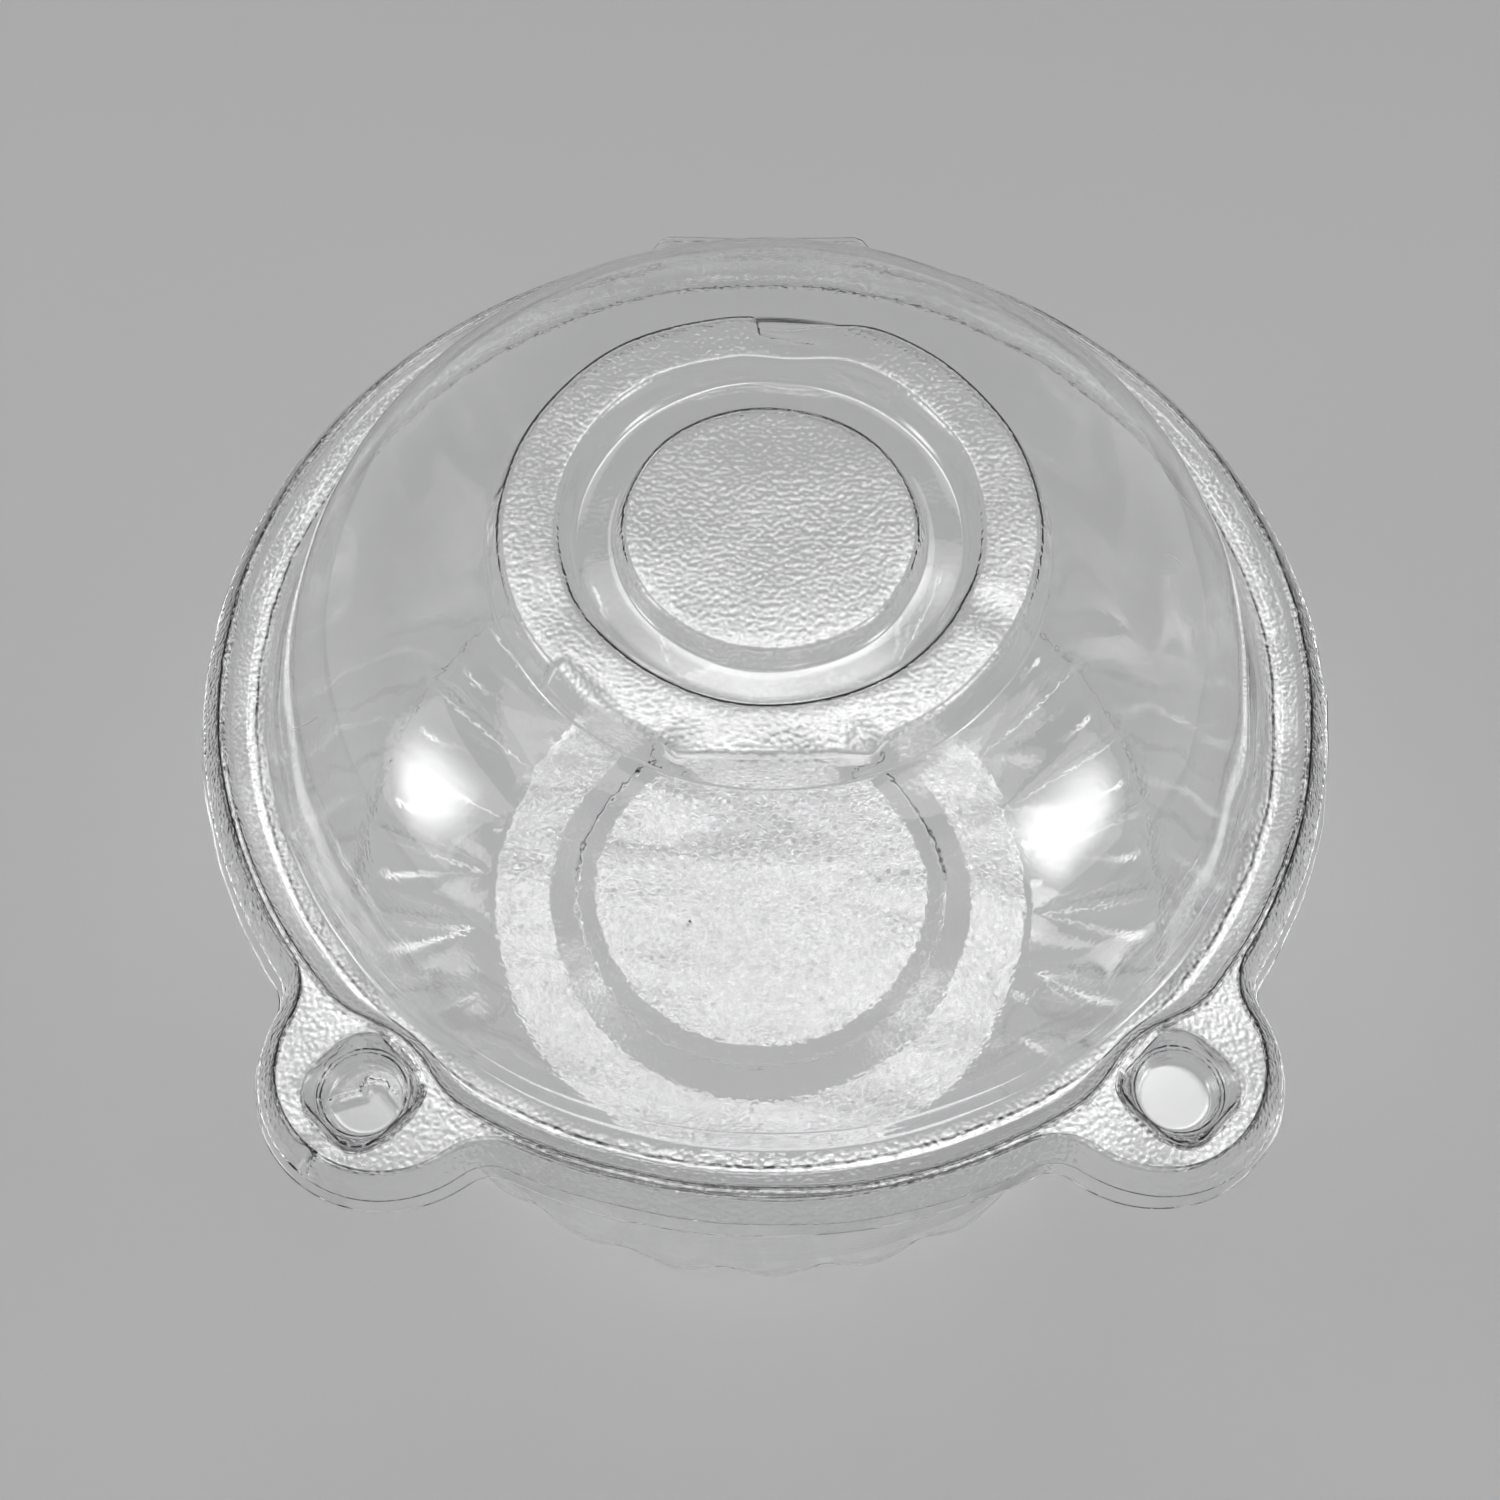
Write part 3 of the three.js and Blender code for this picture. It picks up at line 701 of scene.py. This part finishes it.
def folded(points):
    for place, reach, push in SKIRT_FOLDS:
        away = np.linalg.norm((points - place) / reach, axis=1)
        points = points + np.maximum(1 - away, 0)[:, None] * np.array(push)
    return points


# Each of these gives the push inwards and the drop of the stacking ring's points
def ring_dents(angle, level):
    push = np.zeros(len(angle))
    drop = np.zeros(len(angle))
    for at, reach, inwards, sink in RING_DENTS:
        turn = np.minimum(np.abs(turn_between(angle, at)) / reach, 1)
        share = level * (0.5 + 0.5 * np.cos(np.pi * turn))
        push += inwards * share
        drop += sink * share
    return push, drop


def ring_folds(angle, radius, level):
    push = np.zeros(len(angle))
    drop = np.zeros(len(angle))
    for at, way, reach, start, drift, sink in RING_FOLDS:
        turn = turn_between(angle, at) * way
        fold = RING_OUTER_RADIUS - start - drift * turn / reach
        share = level * smooth(radius, fold - 0.2, fold + 1.6) * smooth(turn, -0.8, 0.6)
        share *= 1 - smooth(turn, 0, reach)
        push += 0.4 * sink * share
        drop += sink * share
    return push, drop


def straight_front(angle, radius, level):
    turn = np.abs(angle)
    share = level * smooth(radius, RING_INNER_RADIUS + 1.5, RING_OUTER_RADIUS - 0.3)
    chord = RING_OUTER_RADIUS - (RING_OUTER_RADIUS - STRAIGHT_INSET) / np.cos(
        np.radians(np.minimum(turn, STRAIGHT_EDGE)))
    chord *= 1 - smooth(turn, STRAIGHT_EDGE - 1, STRAIGHT_EDGE + 6)
    drop = 0.5 * smooth(-chord, 0, 1) + 0.25 * (1 - smooth(turn, 4, STRAIGHT_EDGE))
    return chord * share, drop * share


def lid_shape(points):
    points = np.array(points, float)
    points += sum(waves(points, *wave) for wave in LID_WAVES)
    radius = np.hypot(points[:, 0], points[:, 1])
    angle = np.degrees(np.arctan2(points[:, 0], -points[:, 1]))
    on_ring = (radius > DISC_FOOT_RADIUS + 1) & (radius < RING_FOOT_RADIUS + 1) & (
        points[:, 2] > CROWN_HEIGHT - RING_HEIGHT / 2)
    level = smooth(points[:, 2], CROWN_HEIGHT + 0.2, RING_TOP_HEIGHT) * on_ring
    moves = (ring_dents(angle, level), ring_folds(angle, radius, level),
             straight_front(angle, radius, level))
    push = sum(move[0] for move in moves)
    drop = sum(move[1] for move in moves)
    scale = 1 - push / np.maximum(radius, 1)
    points[:, 0] *= scale
    points[:, 1] *= scale
    points[:, 2] -= drop + RING_SINK * smooth(points[:, 2], CROWN_HEIGHT, RING_TOP_HEIGHT)
    return kept_in_box(folded(points))


def crush_button(ring, centre):
    """The left button's floor is pushed up on one side of a bent fold."""
    ring = np.array(ring, float)
    x = ring[:, 0] - centre[0]
    y = ring[:, 1] - centre[1]
    inner = smooth(np.hypot(x, y), BUTTON_RADIUS + 0.2, BUTTON_FLOOR_RADIUS * 0.8)
    fold = np.full(len(x), 99.0)
    for (x1, y1), (x2, y2) in zip(CRUSH_FOLD, CRUSH_FOLD[1:]):
        run = np.array([x2 - x1, y2 - y1])
        share = np.clip(((x - x1) * run[0] + (y - y1) * run[1]) / (run @ run), 0, 1)
        fold = np.minimum(fold, np.hypot(x - x1 - share * run[0], y - y1 - share * run[1]))
    above = smooth(y - np.interp(x, [spot[0] for spot in CRUSH_FOLD],
                                 [spot[1] for spot in CRUSH_FOLD]), -0.6, 0.6)
    ring[:, 2] += inner * CRUSH_RISE * (0.7 * np.exp(-(fold / 0.45) ** 2)
                                        + 0.8 * above * np.exp(-fold / 2.2))
    return ring


def bowl_shape(points):
    """Near the foot the waves push only upwards, so the container stands on its foot."""
    points = np.array(points, float)
    push = sum(waves(points, *wave) for wave in BOWL_WAVES)
    low = 1 - smooth(points[:, 2], 1, 5)
    push[:, 2] += (np.abs(push[:, 2]) - push[:, 2]) * low
    return kept_in_box(folded(points + push))


# Which columns a row of the film has: all the lid's are round ones, and the bowl's follow the
# flutes from the wall's foot to the flutes' inner ends
def lid_columns(row):
    return "round"


BOWL_FLUTE_FIRST = int(np.argmin(np.abs(bowl_section(180.0)[:, 1] - FLUTE_HEIGHT)))
BOWL_FLUTE_LAST = BOWL_FLUTE_FIRST + len(FLUTE_SWEEPS) + 1


def bowl_columns(row):
    return "flute" if BOWL_FLUTE_FIRST <= row <= BOWL_FLUTE_LAST else "round"


def grain_share(points):
    """Where the film lies flat on the mould's blasted faces it takes their grain."""
    radius = np.hypot(points[:, 0], points[:, 1])
    z = points[:, 2]
    rim = smooth(radius, NECK_RADIUS, NECK_RADIUS + 0.8) * smooth(z, 60.2, 60.8)
    ring_middle = RING_OUTER_RADIUS - RING_TOP_WIDTH / 2
    ring = smooth(z, RING_TOP_HEIGHT - 1.6, RING_TOP_HEIGHT - 0.8) * smooth(
        np.abs(radius - ring_middle), RING_TOP_WIDTH / 2 + 0.4, RING_TOP_WIDTH / 2 - 0.4)
    disc = smooth(z, CROWN_HEIGHT - 2, CROWN_HEIGHT - 1) * smooth(
        radius, DISC_FOOT_RADIUS, DISC_FOOT_RADIUS - 0.8)
    foot = smooth(z, 3, 2.5) * smooth(radius, FOOT_OUTER_RADIUS + 0.6, FOOT_OUTER_RADIUS) * (
        1 - smooth(radius, CENTRE_DISC_RADIUS, CENTRE_CREASE_RADIUS)
        * smooth(radius, FOOT_INNER_RADIUS, CENTRE_CREASE_RADIUS) * 0.6)
    return np.clip(rim + ring + disc + foot, 0, 1)


def make_object(name, mesh, material):
    data = bpy.data.meshes.new(name)
    points = mesh.points()
    data.from_pydata((points * MM).tolist(), [], mesh.faces)
    grain = data.attributes.new("grain", "FLOAT", "POINT")
    grain.data.foreach_set("value", grain_share(points))
    data.polygons.foreach_set("use_smooth", [True] * len(data.polygons))
    data.set_sharp_from_angle(angle=math.radians(SHARP_ANGLE))
    data.update()
    obj = bpy.data.objects.new(name, data)
    bpy.context.scene.collection.objects.link(obj)
    data.materials.append(material)
    return obj


def new_material(name):
    material = bpy.data.materials.new(name)
    material.use_nodes = True
    nodes = material.node_tree.nodes
    shader = nodes["Principled BSDF"]
    return material, nodes, material.node_tree.links, shader


# The film's finish
FILM_COLOUR = (0.985, 0.986, 0.988, 1)
FILM_IOR = 1.57
SHADOW_COLOUR = (0.94, 0.94, 0.94, 1)
GRAIN_SCALE = 2000
GRAIN_DEPTH = 0.000045
GRAIN_ROUGHNESS = 0.04
RIPPLE_SHARE = 0.06


def film_material():
    """Clear film: the flat zones carry the mould's fine grain, the rest faint ripples."""
    material, nodes, links, shader = new_material("clear_film")
    shader.inputs["Base Color"].default_value = FILM_COLOUR
    shader.distribution = "GGX"
    shader.inputs["IOR"].default_value = FILM_IOR
    shader.inputs["Transmission Weight"].default_value = 1
    where = nodes.new("ShaderNodeTexCoord")
    share = nodes.new("ShaderNodeAttribute")
    share.attribute_name = "grain"
    rough = nodes.new("ShaderNodeMapRange")
    rough.inputs["To Min"].default_value = 0
    rough.inputs["To Max"].default_value = GRAIN_ROUGHNESS
    links.new(share.outputs["Fac"], rough.inputs["Value"])
    links.new(rough.outputs["Result"], shader.inputs["Roughness"])
    grain = nodes.new("ShaderNodeTexNoise")
    grain.inputs["Scale"].default_value = GRAIN_SCALE
    grain.inputs["Detail"].default_value = 0
    links.new(where.outputs["Object"], grain.inputs["Vector"])
    depth = nodes.new("ShaderNodeMapRange")
    depth.inputs["To Min"].default_value = RIPPLE_SHARE
    links.new(share.outputs["Fac"], depth.inputs["Value"])
    bump = nodes.new("ShaderNodeBump")
    bump.inputs["Distance"].default_value = GRAIN_DEPTH
    links.new(depth.outputs["Result"], bump.inputs["Strength"])
    links.new(grain.outputs["Fac"], bump.inputs["Height"])
    links.new(bump.outputs["Normal"], shader.inputs["Normal"])
    light_path = nodes.new("ShaderNodeLightPath")
    clear = nodes.new("ShaderNodeBsdfTransparent")
    clear.inputs["Color"].default_value = SHADOW_COLOUR
    mix = nodes.new("ShaderNodeMixShader")
    links.new(light_path.outputs["Is Shadow Ray"], mix.inputs["Fac"])
    links.new(shader.outputs["BSDF"], mix.inputs[1])
    links.new(clear.outputs["BSDF"], mix.inputs[2])
    links.new(mix.outputs["Shader"], nodes["Material Output"].inputs["Surface"])
    return material


film = film_material()
lid_button = button_section(0, 0, POCKET_EASE, BUTTON_FLARE)
bowl_button = button_section(FILM + NEST_GAP, BOWL_BEAD_CUT, BOWL_POCKET_EASE, 0)
lid = make_object("lid_film", film_body(lid_skirt(), lid_section, lid_columns, lid_button,
                                        BUTTON_CORNERS, lid_shape, -1), film)
bowl = make_object("bowl_film", film_body(bowl_skirt(), bowl_section, bowl_columns, bowl_button,
                                          BOWL_BUTTON_CORNERS, bowl_shape, 0), film)
for piece, node, body in ((lid, "dome_lid", "lid"), (bowl, "base_bowl", "bowl")):
    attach(piece, body)
    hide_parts(node)


# What lies on the film: two fibres on the lid and a crumb on the bowl's floor, each with its
# body, its thickness and the line it follows
THREADS = (
    ("fibre_side", "lid", 0.045, ((-47.4, -10.9, 70.2), (-47.2, -12.2, 70.4), (-46.3, -13.4, 71.8),
                                  (-44.6, -14.2, 74.3), (-42.9, -14.6, 76.5))),
    ("fibre_crown", "lid", 0.05, ((38.1, -0.6, 82.8), (38.7, -0.6, 82.5), (39.3, -1.0, 82.2),
                                  (39.7, -1.3, 82.0))),
    ("crumb", "bowl", 0.28, ((-9.8, -4.9, 2.1), (-9.4, -4.7, 2.2), (-9.1, -4.9, 2.1))),
)


def dirt_material(name, colour):
    material, nodes, links, shader = new_material(name)
    shader.inputs["Roughness"].default_value = 0.7
    mottle = nodes.new("ShaderNodeTexNoise")
    mottle.inputs["Scale"].default_value = 4000
    ramp = nodes.new("ShaderNodeValToRGB")
    ramp.color_ramp.elements[0].color = (*(0.7 * part for part in colour), 1)
    ramp.color_ramp.elements[1].color = (*colour, 1)
    links.new(mottle.outputs["Fac"], ramp.inputs["Fac"])
    links.new(ramp.outputs["Color"], shader.inputs["Base Color"])
    return material


def make_threads():
    fibre = dirt_material("pale_fibre", (0.75, 0.75, 0.74))
    crumb = dirt_material("dark_crumb", (0.08, 0.07, 0.06))
    for name, body, thickness, spots in THREADS:
        data = bpy.data.curves.new(name, "CURVE")
        data.dimensions = "3D"
        data.bevel_depth = thickness * MM
        data.bevel_resolution = 2
        data.use_fill_caps = True
        spline = data.splines.new("NURBS")
        spline.points.add(len(spots) - 1)
        for point, spot in zip(spline.points, spots):
            point.co = (*(value * MM for value in spot), 1)
        spline.order_u = 3
        spline.use_endpoint_u = True
        for index, point in enumerate(spline.points):
            point.radius = 0.5 if index in (0, len(spots) - 1) else 1
        data.materials.append(crumb if name == "crumb" else fibre)
        thread = bpy.data.objects.new(name, data)
        bpy.context.scene.collection.objects.link(thread)
        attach(thread, body)


make_threads()


# Floor, world and lamps. Directions are angles from the front, -Y, towards +X, and heights
# above the horizon.
FLOOR_HALF = 0.9
FLOOR_COLOUR = (0.45, 0.45, 0.452, 1)
WORLD_LOW = (0.52, 0.52, 0.522, 1)
WORLD_HIGH = (0.22, 0.22, 0.2205, 1)
WORLD_RAMP = (0.2, 0.6)
AIM = Vector((0, 0, 0.06))
# Name, directions of the two ends, distance, width, and brightness at the edge and the core
SOFTBOXES = (
    ("top_softbox", (180, 82), (180, 56), 0.75, 0.62, 0.8, 4.9),
    ("left_back_softbox", (-148, 67), (-152, 52), 0.75, 0.2, 1.6, 3.2),
    ("right_back_softbox", (144, 74), (152, 52), 0.75, 0.22, 1.2, 2.8),
    ("left_softbox", (-103, 59), (-74, 10), 0.6, 0.24, 0.8, 6.5),
    ("right_softbox", (98, 63), (62, 15), 0.6, 0.24, 0.8, 6.5),
)


def make_floor():
    data = bpy.data.meshes.new("floor")
    signs = ((-1, -1), (1, -1), (1, 1), (-1, 1))
    corners = [(x * FLOOR_HALF, y * FLOOR_HALF, 0) for x, y in signs]
    data.from_pydata(corners, [], [(0, 1, 2, 3)])
    floor = bpy.data.objects.new("floor", data)
    bpy.context.scene.collection.objects.link(floor)
    material, _, _, shader = new_material("floor_paper")
    shader.inputs["Base Color"].default_value = FLOOR_COLOUR
    shader.inputs["Roughness"].default_value = 0.9
    data.materials.append(material)


def way_to(angle, height):
    turn = math.radians(angle)
    rise = math.radians(height)
    return Vector((math.sin(turn) * math.cos(rise), -math.cos(turn) * math.cos(rise),
                   math.sin(rise)))


def make_softbox(name, top, bottom, distance, width, edge, core):
    """A softbox that reaches from one direction to another, brighter in its middle."""
    first = way_to(*top)
    last = way_to(*bottom)
    way = (first + last).normalized()
    length = 2 * distance * math.tan(first.angle(last) / 2)
    side = (first - last).cross(way).normalized()
    lamp = bpy.data.lights.new(name, "AREA")
    lamp.shape = "RECTANGLE"
    lamp.size = width
    lamp.size_y = length
    lamp.energy = width * length * math.pi
    lamp.use_nodes = True
    nodes = lamp.node_tree.nodes
    links = lamp.node_tree.links
    where = nodes.new("ShaderNodeNewGeometry")
    away = nodes.new("ShaderNodeVectorMath")
    away.operation = "DISTANCE"
    away.inputs[1].default_value = (0.5, 0.5, 0)
    level = nodes.new("ShaderNodeMapRange")
    level.interpolation_type = "SMOOTHSTEP"
    level.inputs["From Min"].default_value = 0.5
    level.inputs["From Max"].default_value = 0.1
    level.inputs["To Min"].default_value = edge
    level.inputs["To Max"].default_value = core
    links.new(where.outputs["Parametric"], away.inputs[0])
    links.new(away.outputs["Value"], level.inputs["Value"])
    links.new(level.outputs["Result"], nodes["Emission"].inputs["Strength"])
    obj = bpy.data.objects.new(name, lamp)
    obj.matrix_world = Matrix.Translation(AIM + way * distance) @ Matrix(
        (side, way.cross(side), way)).transposed().to_4x4()
    bpy.context.scene.collection.objects.link(obj)


def make_world():
    world = bpy.data.worlds.new("studio")
    world.use_nodes = True
    nodes = world.node_tree.nodes
    links = world.node_tree.links
    where = nodes.new("ShaderNodeTexCoord")
    split = nodes.new("ShaderNodeSeparateXYZ")
    ramp = nodes.new("ShaderNodeValToRGB")
    ramp.color_ramp.elements[0].position = WORLD_RAMP[0]
    ramp.color_ramp.elements[0].color = WORLD_LOW
    ramp.color_ramp.elements[1].position = WORLD_RAMP[1]
    ramp.color_ramp.elements[1].color = WORLD_HIGH
    links.new(where.outputs["Generated"], split.inputs[0])
    links.new(split.outputs["Z"], ramp.inputs["Fac"])
    links.new(ramp.outputs["Color"], nodes["Background"].inputs["Color"])
    bpy.context.scene.world = world


make_floor()
for softbox in SOFTBOXES:
    make_softbox(*softbox)
make_world()
bpy.context.scene.view_settings.view_transform = "Standard"

# Camera: distances in rim radii over the skirt, from the middle of the bowl skirt's lower edge
CAMERA_UNIT = 60.0
CAMERA_BASE_HEIGHT = 59.1
CAMERA_DISTANCE = 3.287
CAMERA_ELEVATION = 59.71
CAMERA_PITCH = 62.05
CAMERA_YAW = -0.938
CAMERA_ROLL = 0.665
CAMERA_TURN = -1.87
FOCAL_PIXELS = 1837.9
PHOTO_PIXELS = 1500
SENSOR = 36.0


def make_camera():
    elevation = math.radians(CAMERA_ELEVATION)
    pitch = math.radians(CAMERA_PITCH)
    yaw = math.radians(CAMERA_YAW)
    place = Vector((0, -CAMERA_DISTANCE * math.cos(elevation),
                    CAMERA_DISTANCE * math.sin(elevation))) * CAMERA_UNIT
    forward = Vector((math.sin(yaw) * math.cos(pitch), math.cos(yaw) * math.cos(pitch),
                      -math.sin(pitch)))
    right = forward.cross(Vector((0, 0, 1))).normalized()
    up = right.cross(forward)
    roll = math.radians(CAMERA_ROLL)
    right, up = (right * math.cos(roll) + up * math.sin(roll),
                 up * math.cos(roll) - right * math.sin(roll))
    turn = Matrix.Rotation(math.radians(CAMERA_TURN), 3, "Z")
    place = (turn @ place + Vector((0, 0, CAMERA_BASE_HEIGHT))) * MM
    axes = turn @ Matrix((right, up, -forward)).transposed()
    data = bpy.data.cameras.new("camera")
    data.sensor_width = SENSOR
    data.lens = SENSOR * FOCAL_PIXELS / PHOTO_PIXELS
    data.clip_start = 0.01
    camera = bpy.data.objects.new("camera", data)
    camera.matrix_world = Matrix.Translation(place) @ axes.to_4x4()
    bpy.context.scene.collection.objects.link(camera)
    bpy.context.scene.camera = camera


make_camera()
